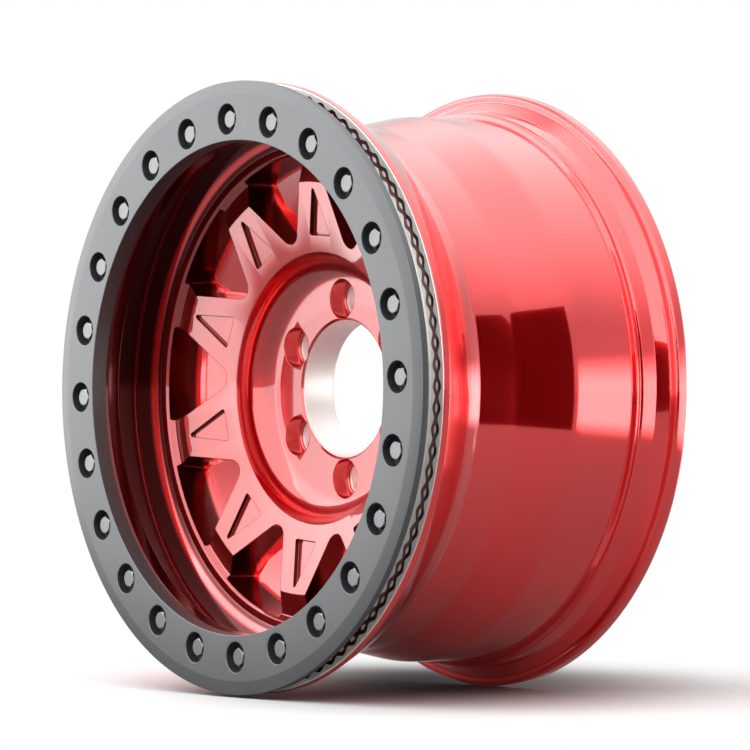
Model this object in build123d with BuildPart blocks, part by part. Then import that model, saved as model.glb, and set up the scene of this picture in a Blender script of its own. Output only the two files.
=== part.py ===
# A 17 x 9 inch beadlock wheel: one-piece cast wheel, bolted outer ring,
# ring bolts with washers, and threaded inserts. Millimetres.
#
# The wheel turns about Y. The ring side faces -Y, the vehicle side +Y, up is +Z.
# The origin is on the axle line in the plane of the hub mounting pad.
# Profiles are drawn as (radius, depth), the depth counted back from the ring's face.
import math
import os

from build123d import *

os.makedirs("parts", exist_ok=True)

# Whole wheel
BEAD_R = 218.3             # tyre bead seat, nominal 17 inch
WHEEL_DEPTH = 257.0        # ring face to the back edge of the rear flange
PAD_DEPTH = 140.0          # ring face to the mounting pad
CLOCKING = 1.6             # turn of the whole pattern about the axle, degrees

# Beadlock ring
RING_THICKNESS = 13.0
RING_OVERHANG = 15.4       # ring's rim beyond the bead seat
RING_BORE_INSET = 29.95    # ring's bore inside the bead seat
RING_BEVEL_WIDTH = 10.5
RING_BEVEL_DROP = 1.3
RING_LIP_THICKNESS = 9.0   # ring's rim, which presses on the tyre
RING_LIP_BEVEL = 2.7
RING_PILOT_GAP = 0.8       # ring's thick part inside the bead seat
RING_STEP_SLOPE = 3.5
RING_EDGE = 0.4

# Ring bolts, washers and inserts
BOLT_COUNT = 24
BOLT_INSET = 13.3          # bolt circle inside the bead seat
BOLT_R = 3.95
BOLT_LENGTH = 19.0
HEAD_FLATS = 12.7
HEAD_HEIGHT = 5.3
HEAD_RECESS = 2.7          # bolt head below the ring's face
HEAD_CHAMFER_ANGLE = 31.0
HEAD_RIM = 0.32            # flat of the head stops this far inside the hexagon
WASHER_R = 9.2
WASHER_THICKNESS = 1.6
COUNTERBORE_R = 11.75
BOLT_CLEARANCE = 0.35
INSERT_R = 6.0
INSERT_LENGTH = 16.0
INSERT_SET = 0.5           # insert below the casting's face
INSERT_CLEARANCE = 0.05
TAP_RUNOUT = 3.0           # hole beyond the insert

# Rim, ring side
MOUTH_STEP = 0.65          # casting's mouth outside the ring's bore
MOUTH_CHAMFER_R = 2.0
MOUTH_CHAMFER_DEPTH = 3.0
MOUTH_LENGTH = 13.0        # straight part of the mouth, from the ring's back
MOUTH_BREAK = 2.6
SHOULDER_CHAMFER = 0.8
GRIP_SETBACK = 8.0         # bead-grip face behind the ring's back
GRIP_WIDTH = 14.9
GRIP_CHAMFER = 0.95
GRIP_LIP = 5.5
FLARE_RISE = 19.5
FLARE_LENGTH = 28.3
FLARE_RIM = 4.0            # flat ring between the flare and the disc's face
CONE_DROP = 17.0
CONE_LENGTH = 33.8
WELL_DROP = 15.3           # drop centre below the bead seat
WELL_RAMP = 17.4
WELL_LENGTH = 39.3
WELL_FRONT_R = 8.0
WELL_BACK_R = 40.0

# Rim, vehicle side
BARREL_WALL = 6.7
BARREL_DROP = 4.5          # barrel below the bead seat
BARREL_TAPER = 0.9
BARREL_RAMP = 48.0
BARREL_BLEND_R = 60.0
HUMP_HEIGHT = 4.2
HUMP_SETBACK = 39.5        # hump's front ahead of the flange's back
HUMP_LENGTH = 4.5
HUMP_RAMP = 1.5
HUMP_FALL = 0.5
HUMP_GROOVE = 1.3
SEAT_STEP = 1.0            # rear seat's foot above the ring side's
SEAT_RISE = 2.2
SEAT_LENGTH = 11.1
FLANGE_HEIGHT = 17.3       # rear flange above the bead seat
FLANGE_THICKNESS = 12.5
FLANGE_ROUND = 4.0
FLANGE_ROOT = 7.0          # slope between the seat and the flange's face
FLANGE_LIP = 12.0          # flat back of the flange
FLANGE_BACK_RISE = 7.0
FLANGE_BACK_DROP = 4.0

# Disc and spokes
SPOKE_COUNT = 10
TIP_DEPTH = 67.5
TIP_INSET = 59.2           # spoke tips inside the bead seat
FACE_SLOPE = 14.9          # spoke faces fall towards the hub, degrees
TROUGH_DEPTH = 5.0
TROUGH_WIDTH = 18.6
LEDGE_INSET = 30.3         # ledge's outer edge inside the bead seat
LEDGE_CHAMFER = 1.5
LEDGE_BREAK = 2.9          # width of the slope beyond the ledge
WINDOW_INSET = 37.4        # window's outer wall inside the bead seat
WINDOW_HALF_ANGLE = 12.3
WINDOW_V_ANGLE = 33.7      # half angle of the V between two spokes
WINDOW_ROOT_INSET = 104.1  # bottom of the V inside the bead seat
WINDOW_ROOT_R = 11.3
WINDOW_CORNER_R = 2.0
DRAFT = 6.5                # casting draft, degrees
DISC_THICKNESS = 30.5
POCKET_TIP_GAP = 1.6
POCKET_LENGTH = 41.0
POCKET_HALF_WIDTH = 13.3
POCKET_DEPTH = 3.4
POCKET_CORNER = 1.6
BACK_POCKET_WALL = 8.0
BACK_POCKET_DEPTH = 15.0
BACK_POCKET_CORNER = 5.0
DISC_FILLET_R = 9.0        # disc's back to the rim
DISC_ROOT_OUT = 5.0        # disc's root outside the dish
DISC_ROOT_SET = 3.0        # disc's root behind the hub face

# Hub
HUB_BORE_R = 53.2
HUB_CHAMFER = 2.0
HUB_THICKNESS = 32.0       # hub face to mounting pad
BOWL_R = 26.0
DISH_R = 105.0
DISH_EDGE_R = 0.8
PAD_R = 88.0
PAD_SKIRT = 10.0
PAD_FOOT = 14.0            # pad's foot ahead of its face
PAD_FILLET_R = 6.0
LUG_COUNT = 6
LUG_PCD = 139.7
LUG_HOLE_R = 7.5
LUG_SEAT_R = 12.0
LUG_SEAT_ANGLE = 60.0
LUG_POCKET_R = 15.5
LUG_POCKET_DEPTH = 15.0
RELIEF_DEPTH = 9.0         # lightening pockets between the lugs, in the pad
RELIEF_WIDTH = 17.0
RELIEF_ANGLE = 26.0

CUT_CLEAR = 1.0            # cutters reach this far past what they cut

# Sizes that follow
RING_OUT_R = BEAD_R + RING_OVERHANG
RING_BORE_R = BEAD_R - RING_BORE_INSET
BOLT_CIRCLE_R = BEAD_R - BOLT_INSET
MOUTH_R = RING_BORE_R + MOUTH_STEP
GRIP_DEPTH = RING_THICKNESS + GRIP_SETBACK
GRIP_OUT_R = BEAD_R + GRIP_WIDTH
MOUTH_END = RING_THICKNESS + MOUTH_LENGTH
FLARE_START = MOUTH_END + MOUTH_BREAK
CONE_START = GRIP_DEPTH + GRIP_LIP
WELL_R = BEAD_R - WELL_DROP
WELL_START = CONE_START + CONE_LENGTH + WELL_RAMP
WELL_END = WELL_START + WELL_LENGTH
BARREL_R = BEAD_R - BARREL_DROP
BARREL_START = WELL_END + BARREL_RAMP
HUMP_START = WHEEL_DEPTH - HUMP_SETBACK
SEAT_START = HUMP_START + HUMP_LENGTH + HUMP_GROOVE
SEAT_R = BEAD_R + SEAT_STEP
FLANGE_R = BEAD_R + FLANGE_HEIGHT
FLANGE_FACE = WHEEL_DEPTH - FLANGE_THICKNESS
TIP_R = BEAD_R - TIP_INSET
WINDOW_R = BEAD_R - WINDOW_INSET
LEDGE_R = BEAD_R - LEDGE_INSET
DISC_BACK = TIP_DEPTH + DISC_THICKNESS
HUB_FACE = PAD_DEPTH - HUB_THICKNESS
HEAD_SEAT = HEAD_RECESS + HEAD_HEIGHT
COUNTERBORE_DEPTH = HEAD_SEAT + WASHER_THICKNESS
SPOKE_PITCH = 360.0 / SPOKE_COUNT
WINDOW_TURN = CLOCKING + 30.0
SPOKE_TURN = WINDOW_TURN - SPOKE_PITCH / 2
LUG_TURN = CLOCKING + 30.0


def yy(depth):
    """Depth behind the ring's face as a Y coordinate."""
    return depth - PAD_DEPTH


def section_points(profile):
    """Radius and depth pairs as points of the section plane."""
    return [(radius, yy(depth)) for radius, depth in profile]


def plan(depth):
    """Plane across the axle, looking back along +Y, with X kept and Z downwards."""
    return Plane(origin=(0, yy(depth), 0), x_dir=(1, 0, 0), z_dir=(0, 1, 0))


def turned(angle):
    """Turn about the axle, anticlockwise as seen from the ring side."""
    return Location((0, 0, 0), (0, -angle, 0))


def around(solid, count, first):
    """Copies of a solid, evenly spaced about the axle."""
    return [solid.moved(turned(first + 360.0 * k / count)) for k in range(count)]


def corner(sketch, radius, depth):
    """Vertex of a section nearest to a radius and depth."""
    return sketch.vertices().sort_by_distance((radius, yy(depth), 0))[0]


def face_depth(radius):
    """Depth of the spokes' conical face at a radius."""
    return TIP_DEPTH + (TIP_R - radius) * math.tan(math.radians(FACE_SLOPE))


dish_depth = face_depth(DISH_R)
lip_start = FLARE_START + FLARE_LENGTH
flare_r = MOUTH_R + MOUTH_BREAK + FLARE_RISE
pad_foot_r = PAD_R + PAD_SKIRT
pad_foot_depth = PAD_DEPTH - PAD_FOOT
barrel_in_r = BARREL_R - BARREL_WALL
well_in_r = WELL_R - BARREL_WALL
hump_r = BARREL_R + BARREL_TAPER

front_of_disc = [
    (DISH_R, dish_depth),
    (TIP_R, TIP_DEPTH),
    (TIP_R + TROUGH_WIDTH, TIP_DEPTH + TROUGH_DEPTH),
    (WINDOW_R, TIP_DEPTH + LEDGE_CHAMFER),
    (WINDOW_R + LEDGE_CHAMFER, TIP_DEPTH),
    (LEDGE_R, TIP_DEPTH),
    (LEDGE_R + LEDGE_BREAK, TIP_DEPTH - LEDGE_CHAMFER),
    (flare_r - FLARE_RIM, lip_start),
    (flare_r, lip_start),
]
mouth = [
    (MOUTH_R + MOUTH_BREAK, FLARE_START),
    (MOUTH_R, MOUTH_END),
    (MOUTH_R, RING_THICKNESS + MOUTH_CHAMFER_DEPTH),
    (MOUTH_R + MOUTH_CHAMFER_R, RING_THICKNESS),
]
grip = [
    (BEAD_R - SHOULDER_CHAMFER, RING_THICKNESS),
    (BEAD_R, RING_THICKNESS + SHOULDER_CHAMFER),
    (BEAD_R, GRIP_DEPTH),
    (GRIP_OUT_R - GRIP_CHAMFER, GRIP_DEPTH),
    (GRIP_OUT_R, GRIP_DEPTH + GRIP_CHAMFER),
    (GRIP_OUT_R, CONE_START),
]
well_and_barrel = [
    (GRIP_OUT_R - CONE_DROP, CONE_START + CONE_LENGTH),
    (WELL_R, WELL_START),
    (WELL_R, WELL_END),
    (BARREL_R, BARREL_START),
    (hump_r, HUMP_START),
]
rear_seat = [
    (hump_r + HUMP_HEIGHT, HUMP_START + HUMP_RAMP),
    (hump_r + HUMP_HEIGHT - HUMP_FALL, HUMP_START + HUMP_LENGTH),
    (SEAT_R - HUMP_GROOVE, SEAT_START),
    (SEAT_R, SEAT_START + HUMP_GROOVE),
    (SEAT_R + SEAT_RISE, SEAT_START + HUMP_GROOVE + SEAT_LENGTH),
    (SEAT_R + SEAT_RISE + FLANGE_ROOT, FLANGE_FACE),
    (FLANGE_R, FLANGE_FACE),
    (FLANGE_R, WHEEL_DEPTH),
]
inside = [
    (FLANGE_R - FLANGE_LIP, WHEEL_DEPTH),
    (SEAT_R - FLANGE_BACK_DROP, WHEEL_DEPTH - FLANGE_BACK_RISE),
    (SEAT_R - BARREL_WALL, SEAT_START + SEAT_LENGTH),
    (barrel_in_r + BARREL_TAPER, HUMP_START),
    (barrel_in_r, BARREL_START),
    (well_in_r, WELL_END),
    (well_in_r, DISC_BACK),
    (WINDOW_R, DISC_BACK),
    (DISH_R + DISC_ROOT_OUT, HUB_FACE + DISC_ROOT_SET),
    (pad_foot_r, pad_foot_depth),
    (PAD_R, PAD_DEPTH),
    (HUB_BORE_R + HUB_CHAMFER, PAD_DEPTH),
    (HUB_BORE_R, PAD_DEPTH - HUB_CHAMFER),
    (HUB_BORE_R, HUB_FACE + HUB_CHAMFER),
    (HUB_BORE_R + HUB_CHAMFER, HUB_FACE),
    (DISH_R, HUB_FACE),
]

# Cast wheel: rim, disc and hub as one turned section
with BuildPart() as wheel_casting:
    with BuildSketch(Plane.XY) as section:
        with BuildLine():
            Polyline(
                *section_points(front_of_disc + mouth + grip + well_and_barrel + rear_seat + inside),
                close=True,
            )
        make_face()
        bowl_wall = HUB_FACE - dish_depth - 2 * DISH_EDGE_R
        fillet(corner(section, DISH_R, dish_depth), radius=DISH_EDGE_R)
        fillet(corner(section, DISH_R, HUB_FACE), radius=min(BOWL_R, bowl_wall))
        fillet(corner(section, FLANGE_R, FLANGE_FACE), radius=FLANGE_ROUND)
        fillet(corner(section, FLANGE_R, WHEEL_DEPTH), radius=FLANGE_ROUND)
        fillet(corner(section, well_in_r, DISC_BACK), radius=DISC_FILLET_R)
        fillet(corner(section, pad_foot_r, pad_foot_depth), radius=PAD_FILLET_R)
        fillet(corner(section, WELL_R, WELL_START), radius=WELL_FRONT_R)
        fillet(corner(section, WELL_R, WELL_END), radius=WELL_BACK_R)
        fillet(corner(section, BARREL_R, BARREL_START), radius=BARREL_BLEND_R)
    revolve(axis=Axis.Y)

    # windows between the spokes: a rounded V that opens to a radial-sided slot
    half = math.radians(WINDOW_HALF_ANGLE)
    v_angle = math.radians(WINDOW_V_ANGLE)
    root_r = BEAD_R - WINDOW_ROOT_INSET
    apex_r = root_r - WINDOW_ROOT_R * (1.0 / math.sin(v_angle) - 1.0)
    tip_corner_r = apex_r / (math.cos(half) - math.sin(half) / math.tan(v_angle))
    with BuildPart(mode=Mode.PRIVATE) as window:
        with BuildSketch(plan(TIP_DEPTH - CUT_CLEAR)) as outline:
            with BuildLine():
                side = (tip_corner_r * math.cos(half), tip_corner_r * math.sin(half))
                end = (WINDOW_R * math.cos(half), WINDOW_R * math.sin(half))
                Polyline(end, side, (apex_r, 0), (side[0], -side[1]), (end[0], -end[1]))
                ThreePointArc((end[0], -end[1]), (WINDOW_R, 0), end)
            make_face()
            fillet(outline.vertices().sort_by(Axis.X)[0], radius=WINDOW_ROOT_R)
            fillet(outline.vertices().sort_by(Axis.X)[-2:], radius=WINDOW_CORNER_R)
        extrude(amount=PAD_DEPTH - TIP_DEPTH, taper=DRAFT)
    add(around(window.part, SPOKE_COUNT, WINDOW_TURN), mode=Mode.SUBTRACT)

    # shallow triangular pocket in each spoke's face
    slope = math.radians(FACE_SLOPE)
    face_plane = Plane(
        origin=(TIP_R, yy(TIP_DEPTH), 0),
        x_dir=(math.cos(slope), -math.sin(slope), 0),
        z_dir=(math.sin(slope), math.cos(slope), 0),
    )
    with BuildPart(mode=Mode.PRIVATE) as pocket:
        with BuildSketch(face_plane) as triangle:
            with BuildLine():
                base = -POCKET_TIP_GAP - POCKET_LENGTH
                Polyline(
                    (-POCKET_TIP_GAP, 0),
                    (base, POCKET_HALF_WIDTH),
                    (base, -POCKET_HALF_WIDTH),
                    close=True,
                )
            make_face()
            fillet(triangle.vertices(), radius=POCKET_CORNER)
        extrude(amount=POCKET_DEPTH)
        extrude(triangle.sketch, amount=-POCKET_DEPTH)
    add(around(pocket.part, SPOKE_COUNT, SPOKE_TURN), mode=Mode.SUBTRACT)

    # lug pockets, conical seats and stud holes
    seat_depth = HUB_FACE + LUG_POCKET_DEPTH
    cone_depth = (LUG_SEAT_R - LUG_HOLE_R) / math.tan(math.radians(LUG_SEAT_ANGLE / 2))
    with BuildPart(mode=Mode.PRIVATE) as lug_cutter:
        with BuildSketch(Plane.XY):
            with BuildLine():
                Polyline(
                    *section_points([
                        (0, HUB_FACE - BOWL_R),
                        (LUG_POCKET_R, HUB_FACE - BOWL_R),
                        (LUG_POCKET_R, seat_depth),
                        (LUG_SEAT_R, seat_depth),
                        (LUG_HOLE_R, seat_depth + cone_depth),
                        (LUG_HOLE_R, PAD_DEPTH + CUT_CLEAR),
                        (0, PAD_DEPTH + CUT_CLEAR),
                    ]),
                    close=True,
                )
            make_face()
        revolve(axis=Axis.Y)
    lug = lug_cutter.part.moved(Location((LUG_PCD / 2, 0, 0)))
    add(around(lug, LUG_COUNT, LUG_TURN), mode=Mode.SUBTRACT)

    # lightening pockets in the mounting pad, between the lugs
    with BuildPart(mode=Mode.PRIVATE) as relief:
        with BuildSketch(plan(PAD_DEPTH - RELIEF_DEPTH)):
            SlotArc(
                CenterArc((0, 0), LUG_PCD / 2, -RELIEF_ANGLE / 2, RELIEF_ANGLE),
                height=RELIEF_WIDTH,
            )
        extrude(amount=RELIEF_DEPTH + CUT_CLEAR)
    add(around(relief.part, LUG_COUNT, LUG_TURN + 180.0 / LUG_COUNT), mode=Mode.SUBTRACT)

    # blind holes for the inserts
    with BuildPart(mode=Mode.PRIVATE) as tapped:
        with BuildSketch(plan(RING_THICKNESS - CUT_CLEAR)):
            with Locations((BOLT_CIRCLE_R, 0)):
                Circle(INSERT_R + INSERT_CLEARANCE)
        extrude(amount=CUT_CLEAR + INSERT_SET + INSERT_LENGTH + TAP_RUNOUT)
    add(around(tapped.part, BOLT_COUNT, CLOCKING), mode=Mode.SUBTRACT)

    # pockets in the backs of the spokes
    back_floor = DISC_BACK - BACK_POCKET_DEPTH
    with BuildPart(mode=Mode.PRIVATE) as back_pocket:
        with BuildSketch(plan(back_floor)) as hollow:
            inner_r = DISH_R + BACK_POCKET_WALL
            outer_r = WINDOW_R - BACK_POCKET_WALL
            spoke_half = math.radians(SPOKE_PITCH / 2) - half
            near_half = POCKET_HALF_WIDTH + BACK_POCKET_WALL
            far_half = outer_r * math.sin(spoke_half) - BACK_POCKET_WALL / 2
            with BuildLine():
                Polyline(
                    (inner_r, near_half),
                    (TIP_R, far_half),
                    (outer_r, far_half),
                    (outer_r, -far_half),
                    (TIP_R, -far_half),
                    (inner_r, -near_half),
                    close=True,
                )
            make_face()
            fillet(hollow.vertices(), radius=BACK_POCKET_CORNER)
        extrude(amount=PAD_DEPTH - back_floor, taper=-DRAFT / 2)
    add(around(back_pocket.part, SPOKE_COUNT, SPOKE_TURN), mode=Mode.SUBTRACT)

# Beadlock ring with its counterbored bolt holes
with BuildPart() as beadlock_ring:
    with BuildSketch(Plane.XY) as ring_section:
        thick_r = BEAD_R - RING_PILOT_GAP
        lip_r = thick_r + RING_STEP_SLOPE
        with BuildLine():
            Polyline(
                *section_points([
                    (RING_BORE_R, RING_EDGE),
                    (RING_BORE_R + RING_EDGE, 0),
                    (RING_OUT_R - RING_BEVEL_WIDTH, 0),
                    (RING_OUT_R, RING_BEVEL_DROP),
                    (RING_OUT_R, RING_LIP_THICKNESS - RING_LIP_BEVEL),
                    (RING_OUT_R - RING_LIP_BEVEL, RING_LIP_THICKNESS),
                    (lip_r, RING_LIP_THICKNESS),
                    (thick_r, RING_THICKNESS),
                    (RING_BORE_R, RING_THICKNESS),
                ]),
                close=True,
            )
        make_face()
    revolve(axis=Axis.Y)
    with BuildPart(mode=Mode.PRIVATE) as bolt_hole:
        with BuildSketch(Plane.XY):
            with BuildLine():
                Polyline(
                    *section_points([
                        (0, -CUT_CLEAR),
                        (COUNTERBORE_R + RING_EDGE, -CUT_CLEAR),
                        (COUNTERBORE_R + RING_EDGE, 0),
                        (COUNTERBORE_R, RING_EDGE),
                        (COUNTERBORE_R, COUNTERBORE_DEPTH),
                        (BOLT_R + BOLT_CLEARANCE, COUNTERBORE_DEPTH),
                        (BOLT_R + BOLT_CLEARANCE, RING_THICKNESS + CUT_CLEAR),
                        (0, RING_THICKNESS + CUT_CLEAR),
                    ]),
                    close=True,
                )
            make_face()
        revolve(axis=Axis.Y)
    hole = bolt_hole.part.moved(Location((BOLT_CIRCLE_R, 0, 0)))
    add(around(hole, BOLT_COUNT, CLOCKING), mode=Mode.SUBTRACT)

# One hex bolt, its head's rim chamfered, then the whole circle of them
with BuildPart(mode=Mode.PRIVATE) as bolt:
    with BuildSketch(plan(HEAD_RECESS)):
        RegularPolygon(radius=HEAD_FLATS / 2, side_count=6, major_radius=False)
    extrude(amount=HEAD_HEIGHT)
    head_out_r = HEAD_FLATS / 2 / math.cos(math.pi / 6) + CUT_CLEAR
    flat_r = HEAD_FLATS / 2 - HEAD_RIM
    rim_drop = (head_out_r - flat_r) * math.tan(math.radians(HEAD_CHAMFER_ANGLE))
    with BuildSketch(Plane.XY):
        with BuildLine():
            Polyline(
                *section_points([
                    (0, HEAD_RECESS),
                    (flat_r, HEAD_RECESS),
                    (head_out_r, HEAD_RECESS + rim_drop),
                    (head_out_r, HEAD_SEAT),
                    (BOLT_R, HEAD_SEAT),
                    (BOLT_R, HEAD_SEAT + BOLT_LENGTH),
                    (0, HEAD_SEAT + BOLT_LENGTH),
                ]),
                close=True,
            )
        make_face()
    revolve(axis=Axis.Y, mode=Mode.INTERSECT)
    with BuildSketch(plan(HEAD_SEAT)):
        Circle(BOLT_R)
    extrude(amount=BOLT_LENGTH)

with BuildPart() as beadlock_bolts:
    add(around(bolt.part.moved(Location((BOLT_CIRCLE_R, 0, 0))), BOLT_COUNT, CLOCKING))

with BuildPart() as bolt_washers:
    with BuildPart(mode=Mode.PRIVATE) as washer:
        with BuildSketch(plan(HEAD_SEAT)):
            with Locations((BOLT_CIRCLE_R, 0)):
                Circle(WASHER_R)
                Circle(BOLT_R + BOLT_CLEARANCE, mode=Mode.SUBTRACT)
        extrude(amount=WASHER_THICKNESS)
    add(around(washer.part, BOLT_COUNT, CLOCKING))

with BuildPart() as thread_inserts:
    with BuildPart(mode=Mode.PRIVATE) as insert:
        with BuildSketch(plan(RING_THICKNESS + INSERT_SET)):
            with Locations((BOLT_CIRCLE_R, 0)):
                Circle(INSERT_R)
                Circle(BOLT_R + INSERT_CLEARANCE, mode=Mode.SUBTRACT)
        extrude(amount=INSERT_LENGTH)
    add(around(insert.part, BOLT_COUNT, CLOCKING))

for name, piece in (
    ("wheel_casting", wheel_casting),
    ("beadlock_ring", beadlock_ring),
    ("beadlock_bolts", beadlock_bolts),
    ("bolt_washers", bolt_washers),
    ("thread_inserts", thread_inserts),
):
    piece.part.label = name
    export_step(piece.part, f"parts/{name}.step")
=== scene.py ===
import math

import bpy
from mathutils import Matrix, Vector
from bpy.props import FloatProperty, FloatVectorProperty, IntProperty, PointerProperty


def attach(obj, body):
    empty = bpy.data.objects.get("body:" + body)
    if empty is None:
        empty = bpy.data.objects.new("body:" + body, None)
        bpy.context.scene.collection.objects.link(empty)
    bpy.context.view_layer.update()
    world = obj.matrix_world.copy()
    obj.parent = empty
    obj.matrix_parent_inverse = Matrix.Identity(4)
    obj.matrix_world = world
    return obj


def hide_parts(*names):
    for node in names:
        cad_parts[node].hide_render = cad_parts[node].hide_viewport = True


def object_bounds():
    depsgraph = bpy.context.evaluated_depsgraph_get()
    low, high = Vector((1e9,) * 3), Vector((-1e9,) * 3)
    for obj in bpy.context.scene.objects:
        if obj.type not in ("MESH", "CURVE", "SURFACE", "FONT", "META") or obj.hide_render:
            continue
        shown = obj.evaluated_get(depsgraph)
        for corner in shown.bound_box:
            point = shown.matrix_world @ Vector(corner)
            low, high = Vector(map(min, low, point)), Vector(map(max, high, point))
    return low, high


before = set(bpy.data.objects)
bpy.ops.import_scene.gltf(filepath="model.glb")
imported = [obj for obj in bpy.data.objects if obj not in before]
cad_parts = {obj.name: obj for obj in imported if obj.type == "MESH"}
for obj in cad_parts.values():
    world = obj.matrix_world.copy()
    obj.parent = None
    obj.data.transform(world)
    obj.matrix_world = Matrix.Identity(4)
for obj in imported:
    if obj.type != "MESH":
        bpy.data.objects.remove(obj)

bl_info = {
    "name": "Beadlock Wheel",
    "version": (1, 0, 0),
    "blender": (4, 5, 0),
    "location": "3D View > Sidebar > Wheel",
    "description": "Finishes a cast beadlock wheel with its bolted ring and sets the studio",
    "category": "Object",
}

MM = 0.001
CAD_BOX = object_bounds()
STRAIGHT = math.radians(89.5)   # half angle from which a corner is left unrounded
EDGE_SHARE = 0.95               # most of an edge that one rounding takes

# Sizes in millimetres: radius from the axle, depth back from the ring's face.
# They repeat the part's own, so that each mesh stands exactly where its solid does.
BEAD_R = 218.3
WHEEL_DEPTH = 257.0
PAD_DEPTH = 140.0
CLOCKING = 1.6             # turn of the whole pattern about the axle, degrees
CUT_CLEAR = 1.0            # cutters reach this far past what they cut

# Beadlock ring
RING_THICKNESS = 13.0
RING_OUT_R = BEAD_R + 15.4
RING_BORE_R = BEAD_R - 29.95
RING_BEVEL_WIDTH = 10.5
RING_BEVEL_DROP = 1.3
RING_LIP_THICKNESS = 9.0
RING_LIP_BEVEL = 2.7
RING_PILOT_GAP = 0.8
RING_STEP_SLOPE = 3.5
RING_EDGE = 0.4

# Ring bolts and washers
BOLTS = 24
BOLT_CIRCLE_R = BEAD_R - 13.3
BOLT_R = 3.95
BOLT_LENGTH = 19.0
BOLT_TIP_R = 3.3
BOLT_TIP_LENGTH = 0.6
HEAD_FLATS = 12.7
HEAD_RECESS = 2.7
HEAD_SEAT = HEAD_RECESS + 5.3
HEAD_RIM = 0.32
WASHER_R = 9.2
WASHER_THICKNESS = 1.6
BOLT_HOLE_R = BOLT_R + 0.35
COUNTERBORE_R = 11.75

# Rim, ring side
MOUTH_R = RING_BORE_R + 0.65
MOUTH_CHAMFER_R = 2.0
MOUTH_CHAMFER_DEPTH = 3.0
MOUTH_END = RING_THICKNESS + 13.0
MOUTH_BREAK = 2.6
SHOULDER_CHAMFER = 0.8
GRIP_DEPTH = RING_THICKNESS + 8.0
GRIP_OUT_R = BEAD_R + 14.9
GRIP_CHAMFER = 0.95
FLARE_RISE = 19.5
FLARE_LENGTH = 28.3
FLARE_RIM = 4.0
CONE_START = GRIP_DEPTH + 5.5
CONE_DROP = 17.0
CONE_LENGTH = 33.8
WELL_R = BEAD_R - 15.3
WELL_START = CONE_START + CONE_LENGTH + 17.4
WELL_END = WELL_START + 39.3
WELL_FRONT_R = 8.0
WELL_BACK_R = 40.0

# Rim, vehicle side
WALL = 6.7
BARREL_R = BEAD_R - 4.5
BARREL_START = WELL_END + 48.0
BARREL_TAPER = 0.9
BARREL_BLEND_R = 60.0
HUMP_START = WHEEL_DEPTH - 39.5
HUMP_LENGTH = 4.5
HUMP_HEIGHT = 4.2
HUMP_RAMP = 1.5
HUMP_FALL = 0.5
SEAT_R = BEAD_R + 1.0
SEAT_STEP = 1.3
SEAT_START = HUMP_START + HUMP_LENGTH + SEAT_STEP
SEAT_RISE = 2.2
SEAT_LENGTH = 11.1
FLANGE_R = BEAD_R + 17.3
FLANGE_FACE = WHEEL_DEPTH - 12.5
FLANGE_ROUND = 4.0
FLANGE_ROOT = 7.0
FLANGE_LIP = 12.0
FLANGE_BACK_RISE = 7.0
FLANGE_BACK_DROP = 4.0

# Disc and spokes
SPOKES = 10
TIP_DEPTH = 67.5
TIP_R = BEAD_R - 59.2
FACE_SLOPE = math.radians(14.9)
TROUGH_DEPTH = 5.0
TROUGH_WIDTH = 18.6
LEDGE_R = BEAD_R - 30.3
LEDGE_CHAMFER = 1.5
LEDGE_BREAK = 2.9
WINDOW_R = BEAD_R - 37.4
WINDOW_HALF = math.radians(12.3)
WINDOW_V = math.radians(33.7)
WINDOW_ROOT = BEAD_R - 104.1
WINDOW_ROOT_R = 11.3
WINDOW_CORNER_R = 2.0
WINDOW_TURN = CLOCKING + 30.0
WINDOW_CUT_FROM = 64.0
WINDOW_CUT_TO = 124.0
SPOKE_TURN = WINDOW_TURN - 180.0 / SPOKES
DRAFT = math.tan(math.radians(6.5))
DISC_BACK = TIP_DEPTH + 30.5
DISC_FILLET_R = 9.0
DISC_ROOT_OUT = 5.0
DISC_ROOT_SET = 3.0
POCKET_TIP_GAP = 1.6
POCKET_LENGTH = 41.0
POCKET_HALF_WIDTH = 13.3
POCKET_DEPTH = 3.4
POCKET_CORNER = 1.6
POCKET_CUT_RISE = 4.0      # pocket cutter's start above the face

# Pocket behind each spoke: radius, half width and corner radius, at its floor and at its mouth
BACK_POCKET_DEPTH = 15.0
BACK_POCKET_FLOOR = [(113.0, 21.3, 5.0), (159.0, 13.2, 5.0), (172.9, 13.2, 5.0)]
BACK_POCKET_MOUTH = [(110.0, 24.0, 6.0), (159.5, 15.4, 6.0), (175.2, 15.4, 6.0)]

# Hub
HUB_BORE_R = 53.2
HUB_CHAMFER = 2.0
HUB_FACE = PAD_DEPTH - 32.0
DISH_R = 105.0
DISH_EDGE_R = 0.8
BOWL_R = 24.3
PAD_R = 88.0
PAD_SKIRT = 10.0
PAD_FOOT = 14.0
PAD_FILLET_R = 6.0
LUGS = 6
LUG_R = 69.85
LUG_TURN = CLOCKING + 30.0
LUG_HOLE_R = 7.5
LUG_SEAT_R = 12.0
LUG_SEAT_DEPTH = HUB_FACE + 15.0
LUG_CONE = 7.8
LUG_POCKET_R = 15.5
LUG_POCKET_CHAMFER = 1.0
LUG_POCKET_TOP = 26.0      # lug cutter's start ahead of the hub face
RELIEF_DEPTH = 9.0
RELIEF_HALF_WIDTH = 8.5
RELIEF_HALF_ANGLE = math.radians(13.0)
RELIEF_TURN = CLOCKING

# Grooves on the bead grip
BRAID_LINKS = 90
BRAID_R = 225.0
BRAID_TURN = 1.7
BRAID_PINCH = 0.8
BRAID_EDGE = 0.12

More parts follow.
